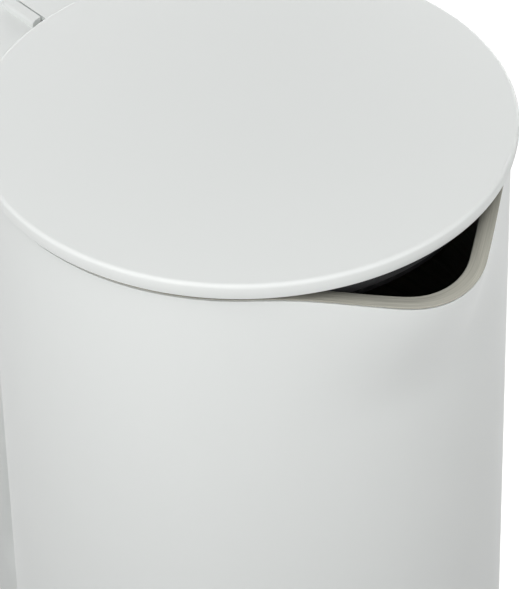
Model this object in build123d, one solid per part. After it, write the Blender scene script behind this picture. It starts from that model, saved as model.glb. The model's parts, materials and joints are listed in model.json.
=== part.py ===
from build123d import *
import os
from math import acos, atan2, cos, degrees, pi, sin, sqrt

# Cordless jug kettle: a white double-walled body with a beaked steel lip, a flat hinged lid,
# a loop handle and a round power base.
# Millimetres, +Z up. The origin is on the kettle's axis, on the surface that it stands on.
# The spout points along +X and the handle along -X.

# Clearances
FIT = 0.15            # between fixed pieces that fit into each other
RUN = 0.05            # radial, round a pin that turns
CLEAR = 0.3           # between pieces of different bodies

# Kettle body and pouring beak
BODY_R = 64.5         # outside of the white shell
BODY_H = 228.0        # foot of the shell to the lower edge of the lid
SHELL_WALL = 2.2
AIR_GAP = 1.2         # between the shell and the vessel
STEEL = 0.8           # sheet of the vessel's wall
FLOOR_T = 1.0         # sheet of the vessel's floor
LIP_T = 1.0           # steel lip that lies on the rim of the shell
BEAK_REACH = 11.6     # tip of the beak beyond the round of the shell
NOSE_R = 21.7         # round of the beak's tip, seen from above
BEAK_FADE = 45.0      # height over which the beak swells out of the round
BEAK_STEPS = 4        # lofted steps of that swelling
BEAK_POINTS = 4       # points on each side of the beak's outline
DIP = 6.4             # lowest point of the lip below the rim
DIP_HALF = 41.8       # half the width of the dip

# Lid
LID_OVERHANG = 1.5    # lower edge beyond the shell
LID_EDGE = 4.4        # height of the edge that shows
LID_BULGE = 0.4       # the edge swells out by this much
LID_CROWN = 1.6       # round between the edge and the top
LID_TOP = 2.0         # thickness of the top
LID_SKIRT = 2.2       # thickness of the edge
RIM_GAP = 0.6         # lower edge of the lid above the rim
PLUG_GAP = 1.8        # plug to the vessel's wall
PLUG_DEPTH = 10.0     # below the lower edge of the lid
PLUG_WALL = 2.0
SEAL_H = 3.0
SEAL_GROOVE = 0.8
SEAL_GAP = 0.4        # seal to the vessel's wall
LID_SCREWS = 3
LID_SCREW_INSET = 14.5  # from the outside of the plug

# Lid hinge
HINGE_BACK = 9.5      # pin behind the lid's edge
HINGE_DROP = 0.3      # pin below the lower edge of the lid
PIN_R = 1.5
HINGE_PIN_L = 32.0
KNUCKLE_R = 4.4
TONGUE_W = 20.5
TONGUE_GAP = 0.8      # behind and below the tongue
CHEEK_GAP = 0.5       # beside the tongue
CHEEK_W = 3.0         # raised cheeks that carry the pin
CHEEK_ROUND = 1.0     # upper edges of the cheeks
LID_SWING_GAP = 1.3   # lid's edge to the cheeks
SHOULDER_GAP = 0.6    # lid's edge to the handle's lower shoulder

# Handle
GRIP_W = 26.0
GRIP_T = 24.0
GRIP_ROUND = 9.0
FINGER_GAP = 28.5     # body to grip
HANDLE_TOP_DROP = 2.2  # top of the handle below the top of the lid
HANDLE_FOOT = 0.6     # underside of the lower arm above the foot of the shell
HANDLE_BEND = 24.0    # bends, on the handle's middle line
COLLAR_W = 64.0       # upper arm at the body, round the back of the lid
SEAT_W = 40.0         # lower arm at the body
ROOT_ROUND = 5.0      # edges of the arms at the body
ROOT_SINK = 14.5      # arms start this far inside the shell, before the cut
ARM_STEPS = 4         # lofted steps of an arm's straight part, and of its bend
GRIP_COVER_W = 14.0
GRIP_COVER_L = 112.0
GRIP_COVER_T = 2.4
LENS_R = 2.6
LENS_T = 3.0
LENS_RISE = 44.0      # indicator above the middle of the lower arm

# Switch paddle under the handle
SWITCH_BACK = 22.5    # pivot behind the shell
SWITCH_SINK = 4.0     # pivot above the underside of the arm
SWITCH_W = 15.0
SWITCH_PIN_L = 24.0
SWITCH_HUB_R = 4.0
SWITCH_L = 25.0
SWITCH_T = 4.0
SWITCH_GAP = 0.8      # paddle to its slot

# Underside of the kettle
SOLE_RISE = 2.0       # closing plate above the foot ring
SOLE_T = 2.0
FOOT_RING_W = 4.0
FLOOR_RISE = 32.7     # vessel's floor above the foot of the shell
HEATER_INSET = 8.5    # from the outside of the shell
HEATER_T = 3.0
ELEMENT_INSET = 16.0  # heating tube, from the edge of the heater plate
ELEMENT_TUBE_R = 3.4
ELEMENT_TURN = 290.0
SOLE_SCREWS = 3
SOLE_SCREW_INSET = 5.0  # from the edge of the heater plate
BOSS_R = 4.5
SCREW_R = 1.5
SCREW_HEAD_R = 3.0
SCREW_HEAD_H = 1.6
FIRST_SCREW = 60.0    # degrees from the spout, on every circle of screws
CONTROL_L = 42.0
CONTROL_W = 32.0
BIMETAL_R = 8.0
BIMETAL_T = 0.6

# Plug-in connector between the kettle and its base
POST_R = 10.4
POST_H = 15.0         # above the base
POST_FLANGE_R = 16.7
SOCKET_WALL = 8.6
SOCKET_ROOF = 2.0
SOCKET_FLANGE = 4.0
SOCKET_GAP = 1.0      # socket to post, all round
SOCKET_HEADROOM = 2.0
SLOT_IN_R = 5.0       # ring slot in the post
SLOT_OUT_R = 8.0
SLOT_DEPTH = 12.0
PIN_HOLE_R = 2.6
CONTACT_WALL = 0.5
CONTACT_GAP = 0.3

# Power base
BASE_RIM = 1.0        # base beyond the shell
BASE_H = 16.0
BASE_ROUND = 3.0
BASE_WALL = 2.2
FOOT_H = 1.5          # anti-slip ring under the base
BASE_FOOT_INSET = 8.0
BASE_FOOT_W = 8.0
PLATE_T = 2.0
BASE_SCREWS = 3
BASE_SCREW_INSET = 25.5
GLAND_R = 4.8
GLAND_BORE_R = 3.4    # for a round mains lead

# Heights that follow
FOOT_Z = BASE_H + CLEAR
LID_Z = FOOT_Z + BODY_H
RIM_Z = LID_Z - RIM_GAP
FADE_Z = RIM_Z - BEAK_FADE
FLOOR_Z = FOOT_Z + FLOOR_RISE
HEATER_Z = FLOOR_Z - FLOOR_T - HEATER_T
SOLE_Z = FOOT_Z + SOLE_RISE
SOLE_TOP = SOLE_Z + SOLE_T
POST_TOP = BASE_H + POST_H
HINGE_Z = LID_Z - HINGE_DROP
HANDLE_TOP = LID_Z + LID_EDGE - HANDLE_TOP_DROP
TOP_ARM_Z = HANDLE_TOP - GRIP_T / 2
LOW_ARM_Z = FOOT_Z + HANDLE_FOOT + GRIP_T / 2
GRIP_X = BODY_R + FINGER_GAP + GRIP_T / 2
SWITCH_Z = FOOT_Z + HANDLE_FOOT + SWITCH_SINK
SOCKET_R = POST_R + SOCKET_GAP + SOCKET_WALL
SOCKET_TOP = POST_TOP + SOCKET_HEADROOM
CONTROL_Z = SOCKET_TOP + SOCKET_ROOF

# Insets of the double wall from the outside of the shell
VESSEL_OUT = SHELL_WALL + AIR_GAP
VESSEL_IN = VESSEL_OUT + STEEL

# Radii and distances from the axis that follow the shell
LID_R = BODY_R + LID_OVERHANG
PLUG_R = BODY_R - VESSEL_IN - PLUG_GAP
LID_SCREW_PCR = PLUG_R - LID_SCREW_INSET
HINGE_X = LID_R + HINGE_BACK
SWITCH_X = BODY_R + SWITCH_BACK
ARM_ROOT = BODY_R - ROOT_SINK
ARM_STRAIGHT = GRIP_X - HANDLE_BEND - ARM_ROOT
ARM_BEND = HANDLE_BEND * pi / 2
HEATER_R = BODY_R - HEATER_INSET
ELEMENT_R = HEATER_R - ELEMENT_INSET
SOLE_SCREW_PCR = HEATER_R - SOLE_SCREW_INSET
BASE_R = BODY_R + BASE_RIM
BASE_SCREW_PCR = BASE_R - BASE_SCREW_INSET
BASE_FOOT_R = BASE_R - BASE_FOOT_INSET

# The beak's outline is two lines, tangent to the shell and to the nose
NOSE_X = BODY_R + BEAK_REACH - NOSE_R
FLANK = acos((BODY_R - NOSE_R) / NOSE_X)
FAR = 2 * BODY_R      # reaches past every wall in cuts


def disc(radius, z0, z1, x=0.0, y=0.0):
    """Upright cylinder between two heights."""
    return Pos(x, y, z0) * Cylinder(radius, z1 - z0, align=(Align.CENTER, Align.CENTER, Align.MIN))


def ring(outer, inner, z0, z1):
    return disc(outer, z0, z1) - disc(inner, z0, z1)


def cross_pin(radius, length, x, z):
    """Cylinder along Y, centred on the kettle's middle plane."""
    return Pos(x, 0, z) * Rot(90, 0, 0) * Cylinder(radius, length)


def pin_bore(pin_length, x, z):
    """Blind bore along Y for a pin that is driven in from the left side."""
    bore = disc(PIN_R + RUN / 2, -pin_length / 2 - FIT, FAR)
    return Pos(x, 0, z) * Rot(-90, 0, 0) * bore


def block(x0, x1, half_width, z0, z1):
    """Box across the kettle's middle plane."""
    return Pos((x0 + x1) / 2, 0, (z0 + z1) / 2) * Box(abs(x1 - x0), 2 * half_width, z1 - z0)


def around(count, radius, start=0.0):
    """Places spread evenly on a circle."""
    return PolarLocations(radius, count, start_angle=start)


def beak_radius(angle, inset):
    """Distance from the axis to the beaked outline, in the direction of angle."""
    nose = NOSE_R - inset
    seam = atan2(nose * sin(FLANK), NOSE_X + nose * cos(FLANK))
    if abs(angle) < seam:
        return NOSE_X * cos(angle) + sqrt(nose**2 - (NOSE_X * sin(angle)) ** 2)
    return (BODY_R - inset) / cos(FLANK - abs(angle))


def outline(inset, swell, z):
    """Level section of the body: a round with the beak swollen out of it by the share swell."""
    radius = BODY_R - inset
    points = []
    for step in range(-BEAK_POINTS, BEAK_POINTS + 1):
        angle = FLANK * step / BEAK_POINTS
        reach = radius + swell * (beak_radius(angle, inset) - radius)
        points.append((reach * cos(angle), reach * sin(angle)))
    leave = (sin(FLANK), cos(FLANK))
    arrive = (-sin(FLANK), cos(FLANK))
    beak = Spline(*points, tangents=(leave, arrive))
    back = CenterArc((0, 0), radius, degrees(FLANK), 360 - 2 * degrees(FLANK))
    return Pos(0, 0, z) * make_face(beak.edges() + back.edges())


def form(inset, z0):
    """Solid body form up to the level of the rim, inset from the outside of the shell."""
    sections = []
    for step in range(BEAK_STEPS + 1):
        share = step / BEAK_STEPS
        swell = share**2 * (3 - 2 * share)
        sections.append(outline(inset, swell, FADE_Z + BEAK_FADE * share))
    return extrude(outline(inset, 0, z0), FADE_Z - z0) + loft(sections)


def wall(outer, inner, z0):
    return form(outer, z0) - form(inner, z0)


def above_rim(sunk):
    """Everything above the rim line, which dips at the spout, sunk by a distance."""
    z = RIM_Z - sunk
    dip = Spline(
        (-DIP_HALF, z), (-DIP_HALF / 2, z - DIP / 2), (0, z - DIP), (DIP_HALF / 2, z - DIP / 2), (DIP_HALF, z),
        tangents=((1, 0), (1, 0)),
    )
    frame = Polyline((DIP_HALF, z), (FAR, z), (FAR, z + FAR), (-FAR, z + FAR), (-FAR, z), (-DIP_HALF, z))
    front = extrude(Plane.YZ * make_face(dip.edges() + frame.edges()), FAR)
    return front + block(-FAR, 0, FAR, z, z + FAR)


def outer_shell():
    return wall(0, SHELL_WALL, FOOT_Z) - above_rim(LIP_T)


def inner_vessel():
    """Drawn steel pot whose top edge is turned out over the rim of the shell."""
    blank = form(0, FLOOR_Z - FLOOR_T) - above_rim(0)
    around_pot = wall(-SHELL_WALL, VESSEL_OUT, FLOOR_Z - 2 * FLOOR_T) - above_rim(LIP_T)
    return blank - around_pot - form(VESSEL_IN, FLOOR_Z)


def heater_plate():
    return disc(HEATER_R, HEATER_Z, HEATER_Z + HEATER_T)


def heating_element():
    """Open ring of heating tube under the plate, with a terminal at each end."""
    z = HEATER_Z - ELEMENT_TUBE_R - RUN
    start = 180 - ELEMENT_TURN / 2 + 180
    path = Pos(0, 0, z) * CenterArc((0, 0), ELEMENT_R, start, ELEMENT_TURN)
    tube = sweep(Plane(path @ 0, z_dir=path % 0) * Circle(ELEMENT_TUBE_R), path=path)
    for end in (path @ 0, path @ 1):
        tube += disc(SCREW_R, SOLE_TOP + SOCKET_FLANGE, z, end.X, end.Y)
    return tube


def thermostat_control():
    top = HEATER_Z - BIMETAL_T - RUN
    plan = RectangleRounded(CONTROL_L, CONTROL_W, CONTROL_W / 4)
    return extrude(Pos(0, 0, CONTROL_Z) * plan, top - CONTROL_Z)


def bimetal_discs():
    z = HEATER_Z - BIMETAL_T - RUN
    spread = CONTROL_L / 4
    return [disc(BIMETAL_R, z, z + BIMETAL_T, side * spread) for side in (-1, 1)]


def kettle_socket():
    """Round socket that drops over the post of the base."""
    cup = disc(SOCKET_R, FOOT_Z + CLEAR, SOCKET_TOP + SOCKET_ROOF)
    cup += disc(SOCKET_R + SOCKET_FLANGE, SOLE_TOP, SOLE_TOP + SOLE_T)
    return cup - disc(POST_R + SOCKET_GAP, FOOT_Z, SOCKET_TOP)


def socket_contacts():
    """Centre pin and ring blade that hang from the roof of the socket."""
    tip = SOCKET_TOP - SLOT_DEPTH
    middle = (SLOT_IN_R + SLOT_OUT_R) / 2
    pin = disc(PIN_HOLE_R - CONTACT_WALL - 2 * CONTACT_GAP, tip, SOCKET_TOP)
    blade = ring(middle + CONTACT_WALL / 2, middle - CONTACT_WALL / 2, tip, SOCKET_TOP)
    return [pin, blade]


def sole():
    """Plate that closes the kettle below, with a foot ring and the bosses that carry the heater."""
    edge = BODY_R - SHELL_WALL - FIT
    plate = disc(edge, SOLE_Z, SOLE_TOP) + ring(edge, edge - FOOT_RING_W, FOOT_Z, SOLE_Z)
    plate -= disc(SOCKET_R + FIT, FOOT_Z, SOLE_TOP)
    for place in around(SOLE_SCREWS, SOLE_SCREW_PCR, FIRST_SCREW):
        plate += place * disc(BOSS_R, SOLE_Z, HEATER_Z)
    for place in around(SOLE_SCREWS, SOLE_SCREW_PCR, FIRST_SCREW):
        plate -= place * disc(SCREW_HEAD_R + FIT, FOOT_Z, SOLE_Z + SCREW_HEAD_H)
        plate -= place * disc(SCREW_R + FIT, FOOT_Z, HEATER_Z)
    return plate


def screw(head_z, tip_z):
    """Pan-head screw, head down."""
    head = disc(SCREW_HEAD_R, head_z, head_z + SCREW_HEAD_H)
    return head + disc(SCREW_R, head_z, tip_z)


def sole_screws():
    return [place * screw(SOLE_Z, HEATER_Z - FIT) for place in around(SOLE_SCREWS, SOLE_SCREW_PCR, FIRST_SCREW)]


def arm_section(run, middle, root_width, side):
    """Section of a handle arm at a distance along it, narrowing from its seat towards the grip."""
    share = run / (ARM_STRAIGHT + ARM_BEND)
    slim = share**2 * (3 - 2 * share)
    turned = max(run - ARM_STRAIGHT, 0) / HANDLE_BEND
    x = ARM_ROOT + min(run, ARM_STRAIGHT) + HANDLE_BEND * sin(turned)
    z = middle - side * HANDLE_BEND * (1 - cos(turned))
    along = (-cos(turned), 0, -side * sin(turned))
    width = root_width + slim * (GRIP_W - root_width)
    soft = ROOT_ROUND + slim * (GRIP_ROUND - ROOT_ROUND)
    return Plane((-x, 0, z), x_dir=(0, 1, 0), z_dir=along) * RectangleRounded(width, GRIP_T, soft)


def arm(middle, root_width, side):
    """Handle arm, lofted from its wide seat on the body and on through the bend into the grip."""
    steps = [step / ARM_STEPS for step in range(ARM_STEPS + 1)]
    seat = loft([arm_section(ARM_STRAIGHT * s, middle, root_width, side) for s in steps])
    bend = loft([arm_section(ARM_STRAIGHT + ARM_BEND * s, middle, root_width, side) for s in steps])
    return seat + bend


def grip():
    """Straight part of the handle between the bends."""
    low = LOW_ARM_Z + HANDLE_BEND
    high = TOP_ARM_Z - HANDLE_BEND
    section = Plane((-GRIP_X, 0, low), x_dir=(0, 1, 0), z_dir=(0, 0, 1)) * RectangleRounded(GRIP_W, GRIP_T, GRIP_ROUND)
    return extrude(section, high - low)


def hinge_cheeks():
    """Raised block behind the lid. The slot for the tongue parts it into two cheeks."""
    half = TONGUE_W / 2 + CHEEK_GAP + CHEEK_W
    back = HINGE_X + KNUCKLE_R + TONGUE_GAP
    cheeks = block(-LID_R, -back, half, TOP_ARM_Z, HINGE_Z + KNUCKLE_R)
    cheeks = fillet(cheeks.edges().filter_by(Axis.Z).sort_by(Axis.X)[:2], CHEEK_W)
    upper = cheeks.faces().sort_by(Axis.Z)[-1].edges().sort_by(Axis.X)[:-1]
    return fillet(upper, CHEEK_ROUND) - disc(LID_R + LID_BULGE + LID_SWING_GAP, 0, LID_Z + FAR)


def hinge_slot():
    """Slot for the lid's tongue and its knuckle."""
    knuckle = KNUCKLE_R + TONGUE_GAP
    return block(0, -HINGE_X - knuckle, TONGUE_W / 2 + CHEEK_GAP, HINGE_Z - knuckle, HINGE_Z + FAR)


def grip_cover_form(slack):
    """Strip let into the finger side of the grip, grown by slack on each side."""
    middle = (TOP_ARM_Z + LOW_ARM_Z) / 2
    face = -(GRIP_X - GRIP_T / 2)
    plan = Plane((face - GRIP_COVER_T - slack, 0, middle), x_dir=(0, 1, 0), z_dir=(1, 0, 0))
    shape = RectangleRounded(GRIP_COVER_W + 2 * slack, GRIP_COVER_L + 2 * slack, GRIP_COVER_W / 2 - FIT)
    return extrude(plan * shape, GRIP_COVER_T + slack)


def grip_screw_places():
    middle = (TOP_ARM_Z + LOW_ARM_Z) / 2
    reach = GRIP_COVER_L / 2 - GRIP_COVER_W / 2
    return [middle + side * reach for side in (-1, 1)]


def grip_screw(z, grow):
    """Screw driven into the grip from the finger side."""
    face = -(GRIP_X - GRIP_T / 2)
    turned = Pos(face, 0, z) * Rot(0, -90, 0)
    depth = GRIP_T / 2
    return turned * (disc(SCREW_HEAD_R + grow, 0, SCREW_HEAD_H) + disc(SCREW_R + grow, 0, depth + grow))


def handle_shell():
    loop = arm(TOP_ARM_Z, COLLAR_W, 1) + grip() + arm(LOW_ARM_Z, SEAT_W, -1) + hinge_cheeks()
    loop -= disc(BODY_R + FIT, 0, LID_Z + FAR)
    loop -= disc(LID_R + LID_BULGE + SHOULDER_GAP, RIM_Z, LID_Z + FAR)
    loop -= hinge_slot()
    loop -= pin_bore(HINGE_PIN_L, -HINGE_X, HINGE_Z)
    slot = SWITCH_HUB_R + 2 * SWITCH_GAP
    loop -= block(-SWITCH_X + slot, -SWITCH_X - SWITCH_L, SWITCH_W / 2 + SWITCH_GAP, 0, SWITCH_Z + slot)
    loop -= pin_bore(SWITCH_PIN_L, -SWITCH_X, SWITCH_Z)
    loop -= grip_cover_form(FIT)
    for z in grip_screw_places():
        loop -= grip_screw(z, FIT)
    loop -= lens_form(FIT)
    return loop


def grip_cover():
    cover = grip_cover_form(0)
    for z in grip_screw_places():
        cover -= grip_screw(z, FIT)
    return cover


def grip_screws():
    return [grip_screw(z, 0) for z in grip_screw_places()]


def lens_form(slack):
    """Round indicator in the back of the grip."""
    back = -(GRIP_X + GRIP_T / 2)
    turned = Pos(back, 0, LOW_ARM_Z + LENS_RISE) * Rot(0, 90, 0)
    return turned * disc(LENS_R + slack, 0, LENS_T + slack)


def hinge_pin():
    return cross_pin(PIN_R, HINGE_PIN_L, -HINGE_X, HINGE_Z)


def switch_pin():
    return cross_pin(PIN_R, SWITCH_PIN_L, -SWITCH_X, SWITCH_Z)


def switch_paddle():
    """Thumb paddle: a hub on the pin and a blade that stands out behind, under the handle."""
    low = SWITCH_Z - SWITCH_HUB_R
    blade = Pos(-SWITCH_X - SWITCH_L / 2, 0, low + SWITCH_T / 2) * Box(SWITCH_L, SWITCH_W, SWITCH_T)
    tip = blade.edges().filter_by(Axis.Z).sort_by(Axis.X)[:2]
    blade = fillet(tip, SWITCH_W / 3)
    hub = cross_pin(SWITCH_HUB_R, SWITCH_W, -SWITCH_X, SWITCH_Z)
    return blade + hub - cross_pin(PIN_R + RUN, FAR, -SWITCH_X, SWITCH_Z)


def lid_cover():
    """Flat round lid with a soft edge, hollow below, and a tongue that carries the hinge knuckle."""
    top = LID_Z + LID_EDGE
    side = LID_R + LID_BULGE
    edge = RadiusArc((LID_R, LID_Z), (side, top - LID_CROWN), -LID_EDGE * 3)
    crown = RadiusArc((side, top - LID_CROWN), (side - LID_CROWN, top), -LID_CROWN)
    rest = Polyline((side - LID_CROWN, top), (0, top), (0, top - LID_TOP), (LID_R - LID_SKIRT, top - LID_TOP),
                    (LID_R - LID_SKIRT, LID_Z), (LID_R, LID_Z))
    profile = make_face(edge.edges() + crown.edges() + rest.edges())
    cover = revolve(Plane.XZ * profile, Axis.Z)
    tongue = block(-LID_R + LID_SKIRT, -HINGE_X, TONGUE_W / 2, LID_Z, HINGE_Z + KNUCKLE_R)
    tongue += cross_pin(KNUCKLE_R, TONGUE_W, -HINGE_X, HINGE_Z)
    cover += tongue - disc(LID_R - LID_SKIRT, LID_Z - FAR, top - LID_TOP)
    return cover - cross_pin(PIN_R + RUN, FAR, -HINGE_X, HINGE_Z)


def lid_plug():
    """Hollow plug under the lid, with a flange inside the lid's edge and a groove for the seal."""
    under = LID_Z + LID_EDGE - LID_TOP
    low = LID_Z - PLUG_DEPTH
    plug = disc(LID_R - LID_SKIRT - FIT, under - PLUG_WALL, under) + disc(PLUG_R, low, under)
    plug -= disc(PLUG_R - PLUG_WALL, low + PLUG_WALL, under)
    for place in around(LID_SCREWS, LID_SCREW_PCR, FIRST_SCREW):
        plug += place * disc(BOSS_R, low, under)
    for place in around(LID_SCREWS, LID_SCREW_PCR, FIRST_SCREW):
        plug -= place * disc(SCREW_HEAD_R + FIT, low, low + SCREW_HEAD_H)
        plug -= place * disc(SCREW_R + FIT, low, under)
    seal_z = low + PLUG_WALL
    return plug - ring(PLUG_R + 1, PLUG_R - SEAL_GROOVE, seal_z, seal_z + SEAL_H)


def lid_screws():
    low = LID_Z - PLUG_DEPTH
    under = LID_Z + LID_EDGE - LID_TOP
    return [place * screw(low, under - FIT) for place in around(LID_SCREWS, LID_SCREW_PCR, FIRST_SCREW)]


def lid_seal():
    """Soft ring with a rounded outer edge."""
    z = LID_Z - PLUG_DEPTH + PLUG_WALL
    outer = BODY_R - VESSEL_IN - SEAL_GAP
    seal = ring(outer, PLUG_R - SEAL_GROOVE + FIT / 3, z + FIT / 3, z + SEAL_H - FIT / 3)
    rims = seal.edges().filter_by(GeomType.CIRCLE).sort_by(lambda e: -e.radius)[:2]
    return fillet(rims, SEAL_H / 3)


def base_cover():
    """Top of the power base: a flat disc with a soft edge and a wall below it."""
    hole = POST_FLANGE_R + CLEAR
    under = BASE_H - BASE_WALL
    inside = BASE_R - BASE_WALL
    curve = RadiusArc((BASE_R, BASE_H - BASE_ROUND), (BASE_R - BASE_ROUND, BASE_H), -BASE_ROUND)
    rest = Polyline((BASE_R - BASE_ROUND, BASE_H), (hole, BASE_H), (hole, under), (inside, under), (inside, FOOT_H),
                    (BASE_R, FOOT_H), (BASE_R, BASE_H - BASE_ROUND))
    cover = revolve(Plane.XZ * make_face(curve.edges() + rest.edges()), Axis.Z)
    for place in around(BASE_SCREWS, BASE_SCREW_PCR, FIRST_SCREW):
        cover += place * disc(BOSS_R, FOOT_H + PLATE_T, under)
        cover -= place * disc(SCREW_R + FIT, 0, under - FIT)
    return cover - gland_bore()


def gland_height():
    return (FOOT_H + PLATE_T + BASE_H - BASE_WALL) / 2


def gland_bore():
    """Hole for the cord gland in the back of the base."""
    return Pos(-BASE_R, 0, gland_height()) * Rot(0, 90, 0) * Cylinder(GLAND_R + FIT, 4 * BASE_WALL)


def cord_gland():
    """Open bush in the back wall of the base."""
    z = gland_height()
    inside = -BASE_R + 2 * BASE_WALL
    outside = -BASE_R - FIT
    turned = Pos(inside, 0, z) * Rot(0, -90, 0)
    bush = turned * disc(GLAND_R, 0, inside - outside)
    return bush - turned * disc(GLAND_BORE_R, -1, inside - outside + 1)


def base_plate():
    plate = disc(BASE_R - BASE_WALL - FIT, FOOT_H, FOOT_H + PLATE_T)
    for place in around(BASE_SCREWS, BASE_SCREW_PCR, FIRST_SCREW):
        plate -= place * disc(SCREW_HEAD_R + FIT, FOOT_H, FOOT_H + SCREW_HEAD_H)
        plate -= place * disc(SCREW_R + FIT, FOOT_H, FOOT_H + PLATE_T)
    return plate


def base_screws():
    tip = BASE_H - BASE_WALL - 2 * FIT
    return [place * screw(FOOT_H, tip) for place in around(BASE_SCREWS, BASE_SCREW_PCR, FIRST_SCREW)]


def base_foot():
    return ring(BASE_FOOT_R, BASE_FOOT_R - BASE_FOOT_W, 0, FOOT_H)


def base_post():
    """Round connector post with a centre hole and a ring slot for the kettle's contacts."""
    post = disc(POST_FLANGE_R, FOOT_H + PLATE_T + CLEAR, BASE_H) + disc(POST_R, BASE_H, POST_TOP)
    post -= disc(PIN_HOLE_R, POST_TOP - SLOT_DEPTH, POST_TOP)
    return post - ring(SLOT_OUT_R, SLOT_IN_R, POST_TOP - SLOT_DEPTH, POST_TOP)


def base_contacts():
    """Sleeves inside the post that meet the pin and the blade of the socket."""
    low = POST_TOP - SLOT_DEPTH
    high = POST_TOP - CONTACT_WALL
    inner = ring(PIN_HOLE_R - RUN, PIN_HOLE_R - CONTACT_WALL, low, high)
    outer = ring(SLOT_OUT_R - RUN, SLOT_OUT_R - CONTACT_WALL, low, high)
    return [inner, outer]


NODES = {
    "base_cover": base_cover,
    "base_plate": base_plate,
    "base_screws": base_screws,
    "base_foot": base_foot,
    "cord_gland": cord_gland,
    "base_post": base_post,
    "base_contacts": base_contacts,
    "outer_shell": outer_shell,
    "inner_vessel": inner_vessel,
    "heater_plate": heater_plate,
    "heating_element": heating_element,
    "thermostat_control": thermostat_control,
    "bimetal_discs": bimetal_discs,
    "kettle_socket": kettle_socket,
    "socket_contacts": socket_contacts,
    "sole": sole,
    "sole_screws": sole_screws,
    "handle_shell": handle_shell,
    "grip_cover": grip_cover,
    "grip_screws": grip_screws,
    "indicator_lens": lambda: lens_form(0),
    "hinge_pin": hinge_pin,
    "switch_pin": switch_pin,
    "switch_paddle": switch_paddle,
    "lid_cover": lid_cover,
    "lid_plug": lid_plug,
    "lid_screws": lid_screws,
    "lid_seal": lid_seal,
}


def main():
    os.makedirs("parts", exist_ok=True)
    for node, make in NODES.items():
        shape = make()
        if isinstance(shape, list):
            shape = Compound(children=shape)
        export_step(shape, f"parts/{node}.step")


if __name__ == "__main__":
    main()
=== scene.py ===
import json
import math

import bmesh
import bpy
from bpy.props import FloatProperty, FloatVectorProperty, PointerProperty
from mathutils import Matrix, Vector


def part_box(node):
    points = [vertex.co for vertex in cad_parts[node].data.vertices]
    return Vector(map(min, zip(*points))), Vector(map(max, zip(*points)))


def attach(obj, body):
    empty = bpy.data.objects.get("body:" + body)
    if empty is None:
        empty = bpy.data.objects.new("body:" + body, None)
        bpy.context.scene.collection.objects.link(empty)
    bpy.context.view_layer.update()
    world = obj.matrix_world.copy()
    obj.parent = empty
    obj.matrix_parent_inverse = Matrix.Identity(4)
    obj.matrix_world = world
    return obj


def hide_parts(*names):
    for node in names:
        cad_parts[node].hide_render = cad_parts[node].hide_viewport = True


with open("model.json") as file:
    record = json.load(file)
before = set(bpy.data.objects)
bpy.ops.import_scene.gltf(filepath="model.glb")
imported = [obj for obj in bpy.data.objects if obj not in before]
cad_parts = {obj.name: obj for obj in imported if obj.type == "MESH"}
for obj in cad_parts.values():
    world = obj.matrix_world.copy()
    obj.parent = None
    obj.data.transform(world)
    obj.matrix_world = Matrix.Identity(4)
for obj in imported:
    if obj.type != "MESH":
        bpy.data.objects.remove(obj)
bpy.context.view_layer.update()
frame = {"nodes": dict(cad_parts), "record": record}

bl_info = {
    "name": "Jug kettle",
    "version": (1, 0, 0),
    "blender": (4, 5, 0),
    "location": "View3D > Sidebar > Kettle",
    "description": "Dresses the packed jug kettle with smooth forms and finishes, and sets its studio",
    "category": "Object",
}

MM = 0.001
WELD = 1e-6        # points nearer than this are one
FIT = 0.15 * MM    # room round a piece that sits in a cut
REACH = 0.2        # how far a cutter goes on where it leaves the piece
TURN_STEPS = 256   # faces round the lid, the base and the cuts that follow them
ARC_STEPS = 8      # faces round a soft edge of the lid or the base
RIM_CHART = "Rim"  # flat map of the vessel, which its brush lines follow

SHELL_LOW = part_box("outer_shell")[0]
VESSEL_LOW, VESSEL_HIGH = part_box("inner_vessel")
LID_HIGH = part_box("lid_cover")[1]
HANDLE_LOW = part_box("handle_shell")[0]
BASE_LOW, BASE_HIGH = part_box("base_cover")
HINGE_AT = sum(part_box("hinge_pin"), Vector()) / 2


def length(name, description, default):
    return FloatProperty(name=name, description=description, default=default, min=0.0, unit="LENGTH", precision=5)


def turn(name, description, degrees):
    return FloatProperty(name=name, description=description, default=math.radians(degrees), subtype="ANGLE")


def watts(name, description, default):
    return FloatProperty(name=name, description=description, default=default, min=0.0, unit="POWER")


def colour(name, description, default):
    return FloatVectorProperty(name=name, description=description, default=default, size=3, min=0.0, max=1.0,
                               subtype="COLOR")


class KettleBodySizes(bpy.types.PropertyGroup):
    """White shell and steel vessel."""
    radius: length("Body radius", "Outside of the white shell", -SHELL_LOW.x)
    foot: length("Foot", "Height of the shell's lower edge", SHELL_LOW.z)
    rim: length("Rim", "Height of the steel rim behind the spout", VESSEL_HIGH.z)
    wall: length("Shell wall", "Thickness of the white shell", 2.2 * MM)
    vessel_out: length("Vessel outside", "Inset of the vessel's outer face from the shell", 3.4 * MM)
    vessel_in: length("Vessel inside", "Inset of the vessel's inner face from the shell", 4.2 * MM)
    vessel_low: length("Vessel underside", "Height of the vessel's underside", VESSEL_LOW.z)
    floor_sheet: length("Floor sheet", "Thickness of the vessel's floor", 1.0 * MM)
    lip: length("Lip", "Thickness of the turned-out steel lip", 1.0 * MM)
    beak_reach: length("Beak reach", "Tip of the beak beyond the round of the shell", 11.6 * MM)
    nose: length("Beak nose", "Round of the beak's tip, seen from above", 21.7 * MM)
    fade: length("Beak fade", "Height over which the beak swells out of the round", 45.0 * MM)
    dip: length("Dip", "Lowest point of the lip below the rim", 6.4 * MM)
    dip_half: length("Half dip", "Half the width of the dip", 41.8 * MM)


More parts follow.
